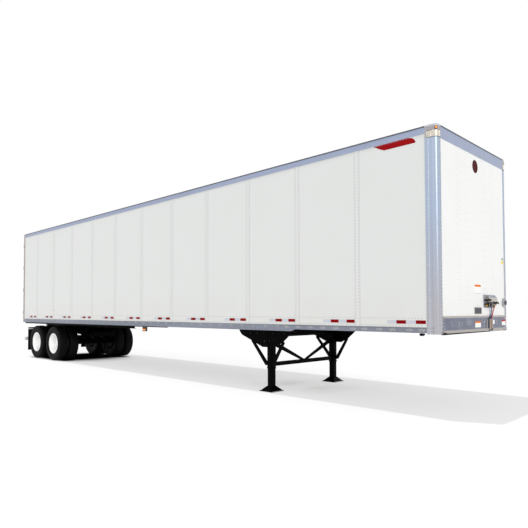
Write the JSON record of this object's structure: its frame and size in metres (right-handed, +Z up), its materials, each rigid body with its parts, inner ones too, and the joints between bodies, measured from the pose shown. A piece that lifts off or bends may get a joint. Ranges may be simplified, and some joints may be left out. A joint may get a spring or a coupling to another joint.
{
  "type": "dry van semi trailer",
  "caption": "Enclosed dry van semi trailer with plate walls, rear swing doors, landing gear, and a sliding tandem bogie on dual wheels.",
  "frame": {"origin": "on the ground, at the middle of the overall length and width", "axes": "+X to the nose, +Y to the road side (left), +Z up"},
  "size_m": [14.797, 2.5908, 4.115],
  "materials": {
    "wall_plate": "gloss white",
    "seam_strip": "gloss white",
    "aluminium_rail": "satin anodised",
    "corner_aluminium": "bright anodised",
    "cast_corner": "cast, satin",
    "hardwood_floor": "oiled",
    "dark_steel": "satin black",
    "bright_steel": "zinc plated",
    "galvanised_frame": "galvanised",
    "door_plate": "gloss white",
    "black_steel": "satin black",
    "flap_rubber": "matt",
    "tyre_rubber": "matt",
    "white_wheel": "gloss white",
    "black_hub": "satin black",
    "grey_plate": "mill finish",
    "gladhand_metal": "satin",
    "air_line": "satin",
    "black_plastic": "matt",
    "grey_plastic": "satin",
    "amber_lens": "clear amber",
    "red_lens": "clear red"
  },
  "bodies": {
    "trailer": {"air_lines": "air_line", "bottom_rails": "aluminium_rail", "coupler_plate": "dark_steel", "crossmembers": "dark_steel", "document_holder": "grey_plastic", "floor": "hardwood_floor", "front_corner_caps": "cast_corner", "front_corner_posts": "corner_aluminium", "front_header": "aluminium_rail", "front_sill": "aluminium_rail", "front_vent": "black_plastic", "front_wall": "wall_plate", "gladhands": "gladhand_metal", "hinge_butts": "bright_steel", "impact_guard": "galvanised_frame", "kingpin": "bright_steel", "landing_cross_brace": "black_steel", "landing_drive": "black_steel", "landing_feet": "black_steel", "landing_leg_tubes": "black_steel", "landing_wing_plates": "black_steel", "line_channel": "grey_plate", "nose_box": "grey_plate", "rear_frame": "galvanised_frame", "roof_bows": "aluminium_rail", "roof_sheet": "aluminium_rail", "side_marker_lamps": "amber_lens", "side_wall_left": "wall_plate", "side_wall_right": "wall_plate", "slider_rails": "dark_steel", "tail_lamps": "red_lens", "top_rails": "aluminium_rail", "wall_seam_strips": "seam_strip"},
    "bogie": {"bogie_frame": "black_steel", "mud_flaps": "flap_rubber", "leaf_springs": "black_steel", "equalizers": "black_steel", "radius_rods": "black_steel", "axles": "black_steel", "brake_chambers": "black_steel", "air_tank": "black_steel"},
    "door_left": {"rear_door_left": "door_plate", "hinge_straps_left": "bright_steel", "lock_rod_left": "bright_steel"},
    "door_right": {"rear_door_right": "door_plate", "hinge_straps_right": "bright_steel", "lock_rod_right": "bright_steel"},
    "wheel_front_left": {"tyres_front_left": "tyre_rubber", "wheels_front_left": "white_wheel", "hub_front_left": "black_hub"},
    "wheel_front_right": {"tyres_front_right": "tyre_rubber", "wheels_front_right": "white_wheel", "hub_front_right": "black_hub"},
    "wheel_rear_left": {"tyres_rear_left": "tyre_rubber", "wheels_rear_left": "white_wheel", "hub_rear_left": "black_hub"},
    "wheel_rear_right": {"tyres_rear_right": "tyre_rubber", "wheels_rear_right": "white_wheel", "hub_rear_right": "black_hub"}
  },
  "joints": [
    {"name": "bogie_slide", "type": "slide", "parent": "trailer", "child": "bogie", "axis": [1, 0, 0], "range_m": [0, 2.44]},
    {"name": "wheel_front_left_spin", "type": "hinge", "parent": "bogie", "child": "wheel_front_left", "pos_m": [-5.0665, 0.96, 0.525], "axis": [0, 1, 0], "continuous": true},
    {"name": "wheel_front_right_spin", "type": "hinge", "parent": "bogie", "child": "wheel_front_right", "pos_m": [-5.0665, -0.96, 0.525], "axis": [0, 1, 0], "continuous": true},
    {"name": "wheel_rear_left_spin", "type": "hinge", "parent": "bogie", "child": "wheel_rear_left", "pos_m": [-6.3165, 0.96, 0.525], "axis": [0, 1, 0], "continuous": true},
    {"name": "wheel_rear_right_spin", "type": "hinge", "parent": "bogie", "child": "wheel_rear_right", "pos_m": [-6.3165, -0.96, 0.525], "axis": [0, 1, 0], "continuous": true},
    {"name": "door_left_swing", "type": "hinge", "parent": "trailer", "child": "door_left", "pos_m": [-7.3725, 1.2814, 2.6], "axis": [0, 0, -1], "range_deg": [0, 265]},
    {"name": "door_right_swing", "type": "hinge", "parent": "trailer", "child": "door_right", "pos_m": [-7.3725, -1.2814, 2.6], "axis": [0, 0, 1], "range_deg": [0, 265]}
  ]
}
